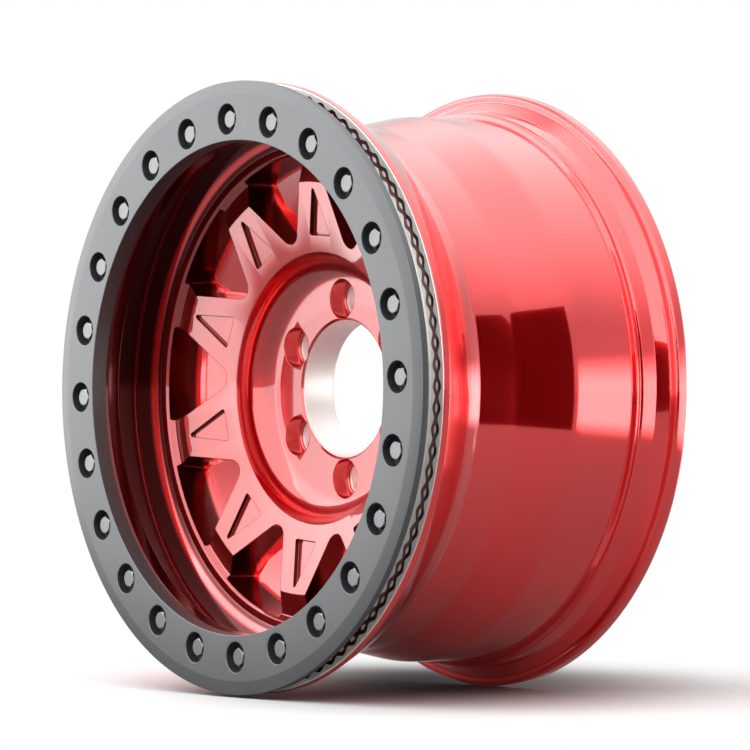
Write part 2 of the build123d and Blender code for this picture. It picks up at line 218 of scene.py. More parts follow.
# Where one finish ends and the next begins
ZONE_EDGE = 0.04
ZONE_MARGIN = 0.3
BORE_MARGIN = 0.35
SEAT_MARGIN = 0.2
PAD_ZONE_R = PAD_R + 1.0
SEAT_ZONE_R = LUG_SEAT_R + 1.2
FRONT_ZONE_START = TIP_DEPTH - 2.0
MOUTH_ZONE_END = TIP_DEPTH - 4.5
DISC_ZONE_IN_R = DISH_R + 0.5
DISC_ZONE_OUT_R = LEDGE_R + 4.0
DISC_ZONE_END = DISC_BACK - 4.0
MARK_DRIFT = 0.6           # how much the tool marks change round the axle

# Shares of a colour, of metal and of the coat, and roughness
POOLED_SHADE = 0.85
TURNED_SHADE = 0.7
GROOVE_SHADE = 0.12
GRAIN_SHADE = 0.8
RING_SHADE = 0.94
# share of the bolts' black that darkens the washers, as painted shade in the counterbores
WASHER_PAINTED_SHADE = 0.4
LACQUER_METAL = 0.76
BARE_METAL = 0.6
RING_METAL = 0.85
STEEL_METAL = 0.9
RECESS_COAT_LOSS = 0.9
COAT_ROUGH = 0.03
COAT_IOR = 1.75
LACQUER_ROUGH = 0.15
FLAKE_ROUGH = 0.12
FRONT_ROUGH = 0.36
BARE_ROUGH = (0.34, 0.5)
RING_ROUGH = (0.36, 0.46)
BOLT_ROUGH = 0.3
WASHER_ROUGH = 0.4
INSERT_ROUGH = 0.35
GRAIN_ROUGH = 0.12
STEEL = (0.56, 0.55, 0.53)

# Brightness of the room as the wheel's gloss mirrors it, where 1 is white
HORIZON = 0.78
OVERHEAD = 2.5
FRONT_ROOM = 3.2
DARK_SIDE = 0.04
UPPER_LEFT = 1.3

# Brightness of the room as it lights the dull surfaces
FRONT_FILL = 2.75
BACK_FILL = 0.35

# Painted shadow on the floor behind the wheel, in the colour the camera sees: its middle, directions,
# reach (metres) and colour share
SHADE_AT = (-0.086, 0.122)
SHADE_ALONG = (-0.79, 0.613)
SHADE_ACROSS = (0.613, 0.79)
SHADE_LENGTH = 0.5
SHADE_WIDTH = 0.24
SHADE_DEPTH = 0.02
PAPER_BOUNCE = 0.5         # share of the paper's colour that lights the wheel from below
BLACK = (0.002, 0.002, 0.002, 1.0)


class WheelShape(bpy.types.PropertyGroup):
    """Fineness of the meshes and sizes of the fine detail"""
    steps: IntProperty(name="Steps", description="Divisions round the axle", default=240, min=48)
    round_steps: IntProperty(
        name="Round steps", description="Divisions of a rounded corner", default=7, min=2)
    braid_depth: FloatProperty(
        name="Braid depth", description="Depth of the bead-grip groove", default=0.8 * MM,
        subtype="DISTANCE", unit="LENGTH")
    braid_width: FloatProperty(
        name="Braid line", description="Width of one line of the groove", default=3.4 * MM,
        subtype="DISTANCE", unit="LENGTH")
    braid_sway: FloatProperty(
        name="Braid sway", description="How far each line sways", default=3.0 * MM,
        subtype="DISTANCE", unit="LENGTH")
    edge_softness: FloatProperty(
        name="Edge softness", description="Radius of the lacquered edges", default=1.0 * MM,
        subtype="DISTANCE", unit="LENGTH")


class WheelFinish(bpy.types.PropertyGroup):
    """Colours and gloss"""
    candy: FloatVectorProperty(
        name="Candy red", description="Lacquer where it is thin", size=3, subtype="COLOR",
        default=(0.88, 0.010, 0.012), min=0.0, max=1.0)
    # painted shade: a darker red on the faces that face forward, towards the bright front box
    front_shade_red: FloatVectorProperty(
        name="Front faces", description="Lacquer over the turned faces, darkened as painted shade", size=3,
        subtype="COLOR", default=(0.40, 0.010, 0.010), min=0.0, max=1.0)
    # painted shade: a dark red that stands in for the shade in the mouth, windows and pockets
    recess_shade: FloatVectorProperty(
        name="Painted shade red", description="Painted shade in the mouth, windows and pockets", size=3,
        subtype="COLOR", default=(0.07, 0.002, 0.002), min=0.0, max=1.0)
    bare: FloatVectorProperty(
        name="Bare metal", description="Machined aluminium", size=3, subtype="COLOR",
        default=(0.90, 0.89, 0.86), min=0.0, max=1.0)
    ring: FloatVectorProperty(
        name="Ring grey", description="Anodised ring", size=3, subtype="COLOR",
        default=(0.118, 0.122, 0.126), min=0.0, max=1.0)
    bolt: FloatVectorProperty(
        name="Bolt black", description="Black oxide", size=3, subtype="COLOR",
        default=(0.20, 0.20, 0.205), min=0.0, max=1.0)


class WheelStage(bpy.types.PropertyGroup):
    """Studio and camera"""
    lens: FloatProperty(name="Lens", description="Focal length on a 36 mm sensor", default=203.7)
    camera_at: FloatVectorProperty(
        name="Camera", description="Where the camera stands", size=3, subtype="TRANSLATION",
        default=(2.61973, -2.03348, -0.04018))
    camera_turn: FloatVectorProperty(
        name="Camera turn", description="Which way it looks", size=3, subtype="EULER",
        default=(math.radians(90.8825), 0.0, math.radians(52.195)))
    floor: FloatVectorProperty(
        name="Floor", description="Seamless paper", size=3, subtype="COLOR",
        default=(0.93, 0.93, 0.93), min=0.0, max=1.0)


def y_at(depth):
    """Y coordinate of a depth, in metres."""
    return (depth - PAD_DEPTH) * MM


def place(radius, depth):
    """Point of the section plane, in metres."""
    return (radius * MM, y_at(depth), 0.0)


def on_plan(x, z, depth):
    """Point given across the axle and by depth, in metres."""
    return (x * MM, y_at(depth), z * MM)


def arc_points(radius, start, end, steps):
    """Points of an arc about the origin of a plan, from one angle to another."""
    turns = [start + (end - start) * k / steps for k in range(steps + 1)]
    return [(radius * math.cos(a), radius * math.sin(a)) for a in turns]


def turn_about_axle(point, degrees):
    """Turn anticlockwise as seen from the ring side."""
    a = math.radians(degrees)
    x, y, z = point
    return (x * math.cos(a) - z * math.sin(a), y, x * math.sin(a) + z * math.cos(a))


def rounded(profile, steps):
    """Profile of (radius, depth, corner radius) with its corners turned into arcs."""
    points = []
    count = len(profile)
    for i, (x, y, size) in enumerate(profile):
        px, py, _ = profile[i - 1]
        nx, ny, _ = profile[(i + 1) % count]
        a = math.hypot(px - x, py - y)
        b = math.hypot(nx - x, ny - y)
        ua = ((px - x) / a, (py - y) / a)
        ub = ((nx - x) / b, (ny - y) / b)
        half = math.acos(max(-1.0, min(1.0, ua[0] * ub[0] + ua[1] * ub[1]))) / 2
        if size <= 0.0 or half > STRAIGHT:
            points.append((x, y))
            continue
        run = min(size / math.tan(half), EDGE_SHARE * a, EDGE_SHARE * b)
        size = run * math.tan(half)
        mx, my = ua[0] + ub[0], ua[1] + ub[1]
        length = math.hypot(mx, my)
        reach = size / math.sin(half)
        cx, cy = x + mx / length * reach, y + my / length * reach
        start = math.atan2(y + ua[1] * run - cy, x + ua[0] * run - cx)
        end = math.atan2(y + ub[1] * run - cy, x + ub[0] * run - cx)
        sweep = (end - start + math.pi) % (2 * math.pi) - math.pi
        for k in range(steps + 1):
            t = start + sweep * k / steps
            points.append((cx + size * math.cos(t), cy + size * math.sin(t)))
    return points


def select_only(piece):
    """Make the piece the only selected one, and the active one."""
    bpy.ops.object.select_all(action="DESELECT")
    piece.select_set(True)
    bpy.context.view_layer.objects.active = piece


def loop_piece(name, points):
    """A closed loop of vertices: a primitive circle whose points are moved to their places."""
    bpy.ops.object.select_all(action="DESELECT")
    bpy.ops.mesh.primitive_circle_add(vertices=len(points), radius=0.1, fill_type="NOTHING")
    piece = bpy.context.object
    piece.name = name
    piece.data.name = name
    for vertex, point in zip(piece.data.vertices, points):
        vertex.co = point
    return piece


def tidy_mesh(piece, gap=0.002 * MM):
    """Merge doubled vertices and turn all the faces outwards."""
    select_only(piece)
    bpy.ops.object.mode_set(mode="EDIT")
    bpy.ops.mesh.select_all(action="SELECT")
    bpy.ops.mesh.remove_doubles(threshold=gap)
    bpy.ops.mesh.normals_make_consistent(inside=False)
    bpy.ops.object.mode_set(mode="OBJECT")


def turned_piece(name, profile, steps, centre_r=0.0):
    """Spin a closed section about the axle, or about a line beside it."""
    piece = loop_piece(name, [place(r, d) for r, d in profile])
    bpy.ops.object.mode_set(mode="EDIT")
    bpy.ops.mesh.select_all(action="SELECT")
    bpy.ops.mesh.spin(steps=steps, angle=2 * math.pi, center=(centre_r * MM, 0, 0), axis=(0, 1, 0))
    bpy.ops.object.mode_set(mode="OBJECT")
    tidy_mesh(piece)
    return piece


def turned_beside(name, profile, steps, centre_r):
    """Spin a section about a line beside the axle. Its radii count from that line."""
    return turned_piece(name, [(centre_r + r, d) for r, d in profile], steps, centre_r)


def prism(name, front, back):
    """A closed prism between two loops with the same number of points."""
    piece = loop_piece(name, front)
    count = len(front)
    bpy.ops.object.mode_set(mode="EDIT")
    bpy.ops.mesh.select_all(action="SELECT")
    bpy.ops.mesh.edge_face_add()
    bpy.ops.mesh.extrude_region_move(TRANSFORM_OT_translate={"value": (0, 0.01, 0)})
    bpy.ops.object.mode_set(mode="OBJECT")
    for vertex, point in zip(piece.data.vertices[count:], back):
        vertex.co = point
    tidy_mesh(piece)
    return piece


def copies_about_axle(piece, count, first):
    """Copies of the piece, evenly spaced about the axle, each with its own mesh. The piece goes."""
    made = []
    for k in range(count):
        copy = piece.copy()
        copy.data = piece.data.copy()
        bpy.context.collection.objects.link(copy)
        angle = first + 360.0 * k / count
        for vertex in copy.data.vertices:
            vertex.co = turn_about_axle(vertex.co, angle)
        made.append(copy)
    bpy.data.objects.remove(piece)
    return made


def joined(name, pieces):
    """One piece from several."""
    bpy.ops.object.select_all(action="DESELECT")
    for piece in pieces:
        piece.select_set(True)
    bpy.context.view_layer.objects.active = pieces[0]
    bpy.ops.object.join()
    whole = bpy.context.object
    whole.name = name
    whole.data.name = name
    return whole


def cut_away(piece, cutters):
    """Take the cutters out of the piece with an applied Boolean modifier."""
    cutter = joined("cutter", cutters)
    select_only(piece)
    boolean = piece.modifiers.new("cut", "BOOLEAN")
    boolean.operation = "DIFFERENCE"
    boolean.solver = "EXACT"
    boolean.object = cutter
    bpy.ops.object.modifier_apply(modifier=boolean.name)
    bpy.data.objects.remove(cutter)


def finish_piece(piece, node, material, angle=32.0):
    """Smooth the piece, give it its material and put it in the place of its CAD node."""
    select_only(piece)
    bpy.ops.object.shade_smooth_by_angle(angle=math.radians(angle))
    piece.data.materials.clear()
    piece.data.materials.append(material)
    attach(piece, "root")
    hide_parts(node)


class Graph:
    """Small helper that adds linked nodes to a node tree."""

    def __init__(self, tree):
        self.tree = tree

    def add(self, kind, **values):
        """Add a node with these settings."""
        node = self.tree.nodes.new(kind)
        for key, value in values.items():
            setattr(node, key, value)
        return node

    def feed(self, socket, value):
        """Link a socket to another, or set its value."""
        if isinstance(value, bpy.types.NodeSocket):
            self.tree.links.new(value, socket)
        else:
            socket.default_value = value

    def add_fed(self, kind, values, **settings):
        """Add a node and give its named inputs their values."""
        node = self.add(kind, **settings)
        for name, value in values.items():
            self.feed(node.inputs[name], value)
        return node

    def use(self, group, **values):
        """Outputs of a node group."""
        return self.add_fed("ShaderNodeGroup", values, node_tree=group).outputs

    def split(self, vector):
        """X, Y and Z of a vector."""
        return self.add_fed("ShaderNodeSeparateXYZ", {"Vector": vector}).outputs

    def math(self, operation, *inputs):
        """Result of a Math node."""
        node = self.add("ShaderNodeMath", operation=operation)
        for socket, value in zip(node.inputs, inputs):
            self.feed(socket, value)
        return node.outputs[0]

    def times(self, product, *others):
        """Product of all the values."""
        for value in others:
            product = self.math("MULTIPLY", product, value)
        return product

    def inverse(self, mask):
        """1 where the mask is 0, and 0 where it is 1."""
        return self.math("SUBTRACT", 1.0, mask)

    def length(self, a, b):
        """Length of a line with these two components."""
        return self.math("SQRT", self.math("ADD", self.times(a, a), self.times(b, b)))

    def step(self, value, edge, soft):
        """0 below the edge and 1 above it, with a soft change."""
        ends = {"Value": value, "From Min": edge - soft, "From Max": edge + soft}
        return self.add_fed("ShaderNodeMapRange", ends, interpolation_type="SMOOTHSTEP").outputs["Result"]

    def below(self, value, edge, soft):
        """1 below the edge and 0 above it, with a soft change."""
        return self.inverse(self.step(value, edge, soft))

    def mix(self, factor, a, b, kind="RGBA"):
        """A where the factor is 0 and B where it is 1, as colours."""
        return self.add_fed(
            "ShaderNodeMix", {"Factor": factor, "A": a, "B": b}, data_type=kind).outputs["Result"]

    def blend(self, factor, a, b):
        """A where the factor is 0 and B where it is 1, as single values."""
        return self.mix(factor, a, b, kind="FLOAT")

    def noise(self, vector, scale, detail=2.0):
        """A noise from 0 to 1. The scale is its features per metre."""
        values = {"Scale": scale, "Detail": detail, "Vector": vector}
        return self.add_fed("ShaderNodeTexNoise", values).outputs["Fac"]


def new_group(name, inputs=(), outputs=()):
    """A node group of single values, and its graph."""
    tree = bpy.data.node_groups.new(name, "ShaderNodeTree")
    for side, names in (("INPUT", inputs), ("OUTPUT", outputs)):
        for socket in names:
            tree.interface.new_socket(socket, in_out=side, socket_type="NodeSocketFloat")
    return tree, Graph(tree)


def polar_group():
    """Radius from the axle, angle and depth of a point, from Object coordinates."""
    tree, g = new_group("Wheel Polar", outputs=("Radius", "Angle", "Depth"))
    x, y, z = g.split(g.add("ShaderNodeTexCoord").outputs["Object"])
    angle = g.math("ARCTAN2", z, x)
    g.add_fed("NodeGroupOutput", {"Radius": g.length(x, z), "Angle": angle, "Depth": y})
    return tree


def turning_group(polar):
    """Fine concentric tool marks of a lathe, as a height."""
    tree, g = new_group("Turning Marks", inputs=("Spacing",), outputs=("Height",))
    spacing = g.add("NodeGroupInput").outputs["Spacing"]
    radius, angle, depth = g.use(polar)
    marks = g.add_fed("ShaderNodeCombineXYZ", {
        "X": g.math("DIVIDE", radius, spacing),
        "Y": g.math("DIVIDE", depth, spacing),
        "Z": g.math("MULTIPLY", angle, MARK_DRIFT)}).outputs[0]
    g.add_fed("NodeGroupOutput", {"Height": g.noise(marks, scale=1.0, detail=3.0)})
    return tree


def bare_group(polar):
    """Mask of the zones that are machined after painting."""
    tree, g = new_group("Machined Zones", outputs=("Bare",))
    radius, angle, depth = g.use(polar)
    fine = ZONE_EDGE * MM
    grip = g.times(g.step(radius, (BEAD_R - ZONE_MARGIN) * MM, fine),
                   g.below(depth, y_at(GRIP_DEPTH + ZONE_MARGIN), fine))
    bore = g.below(radius, (HUB_BORE_R + BORE_MARGIN) * MM, fine)
    pad = g.times(g.step(depth, y_at(PAD_DEPTH - ZONE_MARGIN), fine),
                  g.below(radius, PAD_ZONE_R * MM, fine))
    # the angle is folded into one lug's sector, so that one circle serves every lug
    sector = math.pi / LUGS
    folded = g.math("WRAP", g.math("SUBTRACT", angle, math.radians(LUG_TURN)), sector, -sector)
    u = g.math("SUBTRACT", g.times(radius, g.math("COSINE", folded)), LUG_R * MM)
    v = g.times(radius, g.math("SINE", folded))
    seat = g.times(g.below(g.length(u, v), SEAT_ZONE_R * MM, fine),
                   g.step(depth, y_at(LUG_SEAT_DEPTH - SEAT_MARGIN), fine))
    bare = g.math("MAXIMUM", g.math("MAXIMUM", grip, bore), g.math("MAXIMUM", pad, seat))
    g.add_fed("NodeGroupOutput", {"Bare": bare})
    return tree


def front_group(polar):
    """Mask of the disc's forward faces, which were turned before they were lacquered. Their red is
    painted darker, as shade, than the rest of the lacquer.
    """
    tree, g = new_group("Front Faces", outputs=("Mask",))
    radius, _, depth = g.use(polar)
    normal = g.split(g.add("ShaderNodeNewGeometry").outputs["Normal"])
    forward = g.step(g.times(normal["Y"], -1.0), edge=0.6, soft=0.3)
    inside = g.below(radius, LEDGE_R * MM, soft=2.0 * MM)
    behind_tips = g.step(depth, y_at(FRONT_ZONE_START), soft=1.0 * MM)
    g.add_fed("NodeGroupOutput", {"Mask": g.times(forward, inside, behind_tips)})
    return tree


def recess_shade_group(polar):
    """Mask of the painted shade inside the wheel's front: mouth, flare and window walls."""
    tree, g = new_group("Painted Recess Shade", outputs=("Mask",))
    radius, angle, depth = g.use(polar)
    normal = g.split(g.add("ShaderNodeNewGeometry").outputs["Normal"])
    outward = g.math("ADD", g.times(normal["X"], g.math("COSINE", angle)),
                     g.times(normal["Z"], g.math("SINE", angle)))
    inward = g.step(g.times(outward, -1.0), edge=0.1, soft=0.1)
    mouth = g.times(inward, g.below(depth, y_at(MOUTH_ZONE_END), soft=1.0 * MM))
    disc = g.times(g.below(radius, DISC_ZONE_OUT_R * MM, soft=1.0 * MM),
                   g.step(radius, DISC_ZONE_IN_R * MM, soft=0.5 * MM),
                   g.below(depth, y_at(DISC_ZONE_END), soft=2.0 * MM))
    g.add_fed("NodeGroupOutput", {"Mask": g.math("MAXIMUM", mouth, disc)})
    return tree


def braid_group(polar):
    """Two grooves that cross as they sway round the bead-grip face, as a mask of their width."""
    tree, g = new_group("Bead Grip Braid", inputs=("Width", "Sway"), outputs=("Groove",))
    given = g.add("NodeGroupInput").outputs
    width, sway = given["Width"], given["Sway"]
    radius, angle, depth = g.use(polar)
    waves = BRAID_LINKS / 2
    phase = g.times(g.math("SUBTRACT", angle, math.radians(BRAID_TURN)), waves)
    swing = g.math("SINE", phase)
    # drawn out at the crossings, so that the eyes are short and the strands run together between
    swing = g.times(swing, g.math("POWER", g.math("ABSOLUTE", swing), BRAID_PINCH))
    wave = g.times(swing, sway)
    # a line that leans is measured across its run, so it keeps its width
    lean = g.times(g.math("COSINE", phase), waves / (BRAID_R * MM), sway)
    stretch = g.length(1.0, lean)
    off = g.math("SUBTRACT", radius, BRAID_R * MM)
    nearest = g.math("MINIMUM", g.math("ABSOLUTE", g.math("SUBTRACT", off, wave)),
                     g.math("ABSOLUTE", g.math("ADD", off, wave)))
    inside = g.math("SUBTRACT", g.times(width, 0.5), g.math("DIVIDE", nearest, stretch))
    line = g.step(inside, 0.0, BRAID_EDGE * MM)
    on_face = g.below(depth, y_at(GRIP_DEPTH + ZONE_MARGIN), ZONE_EDGE * MM)
    beyond_seat = g.step(radius, (BEAD_R + ZONE_MARGIN) * MM, ZONE_EDGE * MM)
    g.add_fed("NodeGroupOutput", {"Groove": g.times(line, on_face, beyond_seat)})
    return tree


def tone(colour, share=1.0):
    """A share of a colour, as a socket takes it."""
    return (*[share * c for c in colour], 1.0)


def new_material(name):
    """A material, its node graph and its shader."""
    material = bpy.data.materials.new(name)
    material.use_nodes = True
    shader = next(n for n in material.node_tree.nodes if n.type == "BSDF_PRINCIPLED")
    return material, Graph(material.node_tree), shader


def edge_normal(g, radius):
    """Normal with softly rounded edges."""
    bevel = g.add("ShaderNodeBevel", samples=6)
    bevel.inputs["Radius"].default_value = radius
    return bevel.outputs[0]


def bumped(g, normal, height, strength, distance):
    """Normal with a height added to it."""
    values = {"Strength": strength, "Distance": distance, "Height": height, "Normal": normal}
    return g.add_fed("ShaderNodeBump", values).outputs[0]


def candy_material(polar, turning, bare_zones):
    """Red lacquer over the casting, with the machined zones bare."""
    scene = bpy.context.scene
    finish, shape = scene.wheel_finish, scene.wheel_shape
    material, g, shader = new_material("candy_lacquer")
    coords = g.add("ShaderNodeTexCoord").outputs["Object"]
    groove = g.use(braid_group(polar), Width=shape.braid_width, Sway=shape.braid_sway)["Groove"]
    bare = g.times(g.use(bare_zones)["Bare"], g.inverse(groove))
    front = g.use(front_group(polar))["Mask"]
    recess_shade = g.use(recess_shade_group(polar))["Mask"]
    marks = g.use(turning, Spacing=0.35 * MM)["Height"]

    pooled = g.step(g.noise(coords, scale=9.0), edge=0.5, soft=0.35)
    flake = g.step(g.noise(coords, scale=2600.0, detail=0.0), edge=0.66, soft=0.1)
    red = g.mix(pooled, tone(finish.candy), tone(finish.candy, POOLED_SHADE))
    # the forward faces: tool marks, and a darker red painted as shade
    front_shade_red = g.mix(marks, tone(finish.front_shade_red), tone(finish.front_shade_red, TURNED_SHADE))
    # painted shade: dark red in the mouth, windows and pockets
    lacquer = g.mix(front, g.mix(recess_shade, red, tone(finish.recess_shade)), front_shade_red)
    lacquer = g.mix(groove, lacquer, tone(finish.candy, GROOVE_SHADE))
    g.feed(shader.inputs["Base Color"], g.mix(bare, lacquer, tone(finish.bare)))
    g.feed(shader.inputs["Metallic"], g.blend(bare, LACQUER_METAL, BARE_METAL))
    lacquer_rough = g.blend(front, g.blend(flake, LACQUER_ROUGH, FLAKE_ROUGH), FRONT_ROUGH)
    g.feed(shader.inputs["Roughness"], g.blend(bare, lacquer_rough, g.blend(marks, *BARE_ROUGH)))
    # the coat is mostly left off where the shade is painted, which takes its reflections away there
    uncoated = g.times(recess_shade, g.inverse(front), RECESS_COAT_LOSS)
    g.feed(shader.inputs["Coat Weight"], g.times(g.inverse(bare), g.inverse(uncoated)))
    shader.inputs["Coat Roughness"].default_value = COAT_ROUGH
    shader.inputs["Coat IOR"].default_value = COAT_IOR

    soft_edge = edge_normal(g, shape.edge_softness)
    g.feed(shader.inputs["Coat Normal"], soft_edge)
    orange_peel = g.times(g.noise(coords, scale=420.0, detail=1.0), 0.25)
    fine = bumped(g, soft_edge, g.blend(bare, orange_peel, marks), strength=0.12, distance=0.05 * MM)
    grooved = bumped(g, fine, g.inverse(groove), strength=0.9, distance=shape.braid_depth)
    g.feed(shader.inputs["Normal"], grooved)
    return material


def ring_material(turning):
    """Grey anodised ring with turning marks."""
    ring = bpy.context.scene.wheel_finish.ring
    material, g, shader = new_material("anodised_grey")
    coords = g.add("ShaderNodeTexCoord").outputs["Object"]
    marks = g.use(turning, Spacing=0.3 * MM)["Height"]
    cloud = g.step(g.noise(coords, scale=14.0), edge=0.5, soft=0.3)
    g.feed(shader.inputs["Base Color"], g.mix(cloud, tone(ring), tone(ring, RING_SHADE)))
    shader.inputs["Metallic"].default_value = RING_METAL
    g.feed(shader.inputs["Roughness"], g.blend(marks, *RING_ROUGH))
    normal = bumped(g, edge_normal(g, 0.35 * MM), marks, strength=0.06, distance=0.05 * MM)
    g.feed(shader.inputs["Normal"], normal)
    return material


def bolt_material(name, base, rough):
    """Steel with a fine grain."""
    material, g, shader = new_material(name)
    grain = g.noise(g.add("ShaderNodeTexCoord").outputs["Object"], scale=900.0, detail=3.0)
    g.feed(shader.inputs["Base Color"], g.mix(grain, tone(base), tone(base, GRAIN_SHADE)))
    shader.inputs["Metallic"].default_value = STEEL_METAL
    g.feed(shader.inputs["Roughness"], g.blend(grain, rough, rough + GRAIN_ROUGH))
    normal = bumped(g, edge_normal(g, 0.25 * MM), grain, strength=0.1, distance=0.05 * MM)
    g.feed(shader.inputs["Normal"], normal)
    return material


def casting_profile():
    """Turned section of rim, disc and hub: radius, depth and corner radius.
    The small corner radii are the breaks that a casting and a lathe leave on edges."""
    dish_depth = TIP_DEPTH + (TIP_R - DISH_R) * math.tan(FACE_SLOPE)
    flare_start_r = MOUTH_R + MOUTH_BREAK
    flare_start = MOUTH_END + MOUTH_BREAK
    flare_r = flare_start_r + FLARE_RISE
    flare_end = flare_start + FLARE_LENGTH
    hump_r = BARREL_R + BARREL_TAPER
    seat_rise = SEAT_START + SEAT_STEP
    front_of_disc = [
        (DISH_R, dish_depth, DISH_EDGE_R),
        (TIP_R, TIP_DEPTH, 0.6),
        (TIP_R + TROUGH_WIDTH, TIP_DEPTH + TROUGH_DEPTH, 1.2),
        (WINDOW_R, TIP_DEPTH + LEDGE_CHAMFER, 0.3),
        (WINDOW_R + LEDGE_CHAMFER, TIP_DEPTH, 0.3),
        (LEDGE_R, TIP_DEPTH, 1.5),
        (LEDGE_R + LEDGE_BREAK, TIP_DEPTH - LEDGE_CHAMFER, 1.5),
    ]
    mouth = [
        (flare_r - FLARE_RIM, flare_end, 0.6),
        (flare_r, flare_end, 0.6),
        (flare_start_r, flare_start, 0.3),
        (MOUTH_R, MOUTH_END, 0.8),
        (MOUTH_R, RING_THICKNESS + MOUTH_CHAMFER_DEPTH, 0.3),
        (MOUTH_R + MOUTH_CHAMFER_R, RING_THICKNESS, 0.2),
    ]
    bead_grip = [
        (BEAD_R - SHOULDER_CHAMFER, RING_THICKNESS, 0.1),
        (BEAD_R, RING_THICKNESS + SHOULDER_CHAMFER, 0.1),
        (BEAD_R, GRIP_DEPTH, 0.0),
        (GRIP_OUT_R - GRIP_CHAMFER, GRIP_DEPTH, 0.0),
        (GRIP_OUT_R, GRIP_DEPTH + GRIP_CHAMFER, 0.2),
    ]
    outside = [
        (GRIP_OUT_R, CONE_START, 0.6),
        (GRIP_OUT_R - CONE_DROP, CONE_START + CONE_LENGTH, 0.5),
        (WELL_R, WELL_START, WELL_FRONT_R),
        (WELL_R, WELL_END, WELL_BACK_R),
        (BARREL_R, BARREL_START, BARREL_BLEND_R),
        (hump_r, HUMP_START, 0.4),
        (hump_r + HUMP_HEIGHT, HUMP_START + HUMP_RAMP, 0.5),
        (hump_r + HUMP_HEIGHT - HUMP_FALL, HUMP_START + HUMP_LENGTH, 0.5),
    ]
    rear_seat_and_flange = [
        (SEAT_R - SEAT_STEP, SEAT_START, 0.4),
        (SEAT_R, seat_rise, 0.4),
        (SEAT_R + SEAT_RISE, seat_rise + SEAT_LENGTH, 2.0),
        (SEAT_R + SEAT_RISE + FLANGE_ROOT, FLANGE_FACE, 2.5),
        (FLANGE_R, FLANGE_FACE, FLANGE_ROUND),
        (FLANGE_R, WHEEL_DEPTH, FLANGE_ROUND),
        (FLANGE_R - FLANGE_LIP, WHEEL_DEPTH, 3.0),
        (SEAT_R - FLANGE_BACK_DROP, WHEEL_DEPTH - FLANGE_BACK_RISE, 8.0),
    ]
    inside = [
        (SEAT_R - WALL, SEAT_START + SEAT_LENGTH, 8.0),
        (hump_r - WALL, HUMP_START, 8.0),
        (BARREL_R - WALL, BARREL_START, BARREL_BLEND_R),
        (WELL_R - WALL, WELL_END, 30.0),
        (WELL_R - WALL, DISC_BACK, DISC_FILLET_R),
        (WINDOW_R, DISC_BACK, 2.0),
        (DISH_R + DISC_ROOT_OUT, HUB_FACE + DISC_ROOT_SET, 4.0),
    ]
    hub = [
        (PAD_R + PAD_SKIRT, PAD_DEPTH - PAD_FOOT, PAD_FILLET_R),
        (PAD_R, PAD_DEPTH, 0.6),
        (HUB_BORE_R + HUB_CHAMFER, PAD_DEPTH, 0.1),
        (HUB_BORE_R, PAD_DEPTH - HUB_CHAMFER, 0.1),
        (HUB_BORE_R, HUB_FACE + HUB_CHAMFER, 0.1),
        (HUB_BORE_R + HUB_CHAMFER, HUB_FACE, 0.1),
        (DISH_R, HUB_FACE, BOWL_R),
    ]
    return front_of_disc + mouth + bead_grip + outside + rear_seat_and_flange + inside + hub


def window_outline(depth, steps=10, corner_steps=4):
    """Outline of one window at a depth, pointing along +X, drawn in by the draft."""
    inset = DRAFT * (depth - TIP_DEPTH)
    apex = WINDOW_ROOT - WINDOW_ROOT_R * (1.0 / math.sin(WINDOW_V) - 1.0)
    centre = apex + WINDOW_ROOT_R / math.sin(WINDOW_V)
    outer = WINDOW_R - inset
    v_apex = apex + inset / math.sin(WINDOW_V)
    side_apex = inset / math.sin(WINDOW_HALF)
    tv, ts = math.tan(WINDOW_V), math.tan(WINDOW_HALF)
    knee_x = (v_apex * tv - side_apex * ts) / (tv - ts)
    knee_z = (knee_x - v_apex) * tv
    lean = WINDOW_HALF - math.asin(side_apex * math.sin(WINDOW_HALF) / outer)
    end_x, end_z = outer * math.cos(lean), outer * math.sin(lean)
    spread = math.pi / 2 - WINDOW_V
    root = arc_points(WINDOW_ROOT_R - inset, spread, -spread, 2 * steps)
    root = [(centre - x, z, 0.0) for x, z in root]
    arc = [(x, z, 0.0) for x, z in arc_points(outer, -lean, lean, 2 * corner_steps)[1:-1]]
    corner = max(WINDOW_CORNER_R - inset, 0.05)
    outline = [(knee_x, knee_z, 0.0)] + root + [(knee_x, -knee_z, 0.0), (end_x, -end_z, corner)]
    return rounded(outline + arc + [(end_x, end_z, corner)], corner_steps)


def window_cutter():
    """Window between two spokes, narrower towards the back."""
    depths = (WINDOW_CUT_FROM, WINDOW_CUT_TO)
    loops = [[on_plan(x, z, depth) for x, z in window_outline(depth)] for depth in depths]
    return prism("window", *loops)


def face_point(along, across, below):
    """Point on a spoke's sloping face: distance in from the tip, sideways, and depth under the face."""
    radius = TIP_R - along * math.cos(FACE_SLOPE) + below * math.sin(FACE_SLOPE)
    depth = TIP_DEPTH + along * math.sin(FACE_SLOPE) + below * math.cos(FACE_SLOPE)
    return on_plan(radius, across, depth)


def pocket_cutter():
    """Shallow triangular pocket in a spoke's face."""
    base, half = POCKET_TIP_GAP + POCKET_LENGTH, POCKET_HALF_WIDTH
    corners = [(POCKET_TIP_GAP, 0.0), (base, half), (base, -half)]
    outline = rounded([(*corner, POCKET_CORNER) for corner in corners], steps=6)
    loops = [[face_point(a, c, below) for a, c in outline] for below in (-POCKET_CUT_RISE, POCKET_DEPTH)]
    return prism("pocket", *loops)


def back_pocket_cutter():
    """Pocket behind a spoke, wider towards the back."""
    loops = []
    floor_depth = DISC_BACK - BACK_POCKET_DEPTH
    for half, depth in ((BACK_POCKET_FLOOR, floor_depth), (BACK_POCKET_MOUTH, PAD_DEPTH)):
        mirrored = [(x, -z, corner) for x, z, corner in reversed(half)]
        loops.append([on_plan(x, z, depth) for x, z in rounded(half + mirrored, steps=5)])
    return prism("back_pocket", *loops)


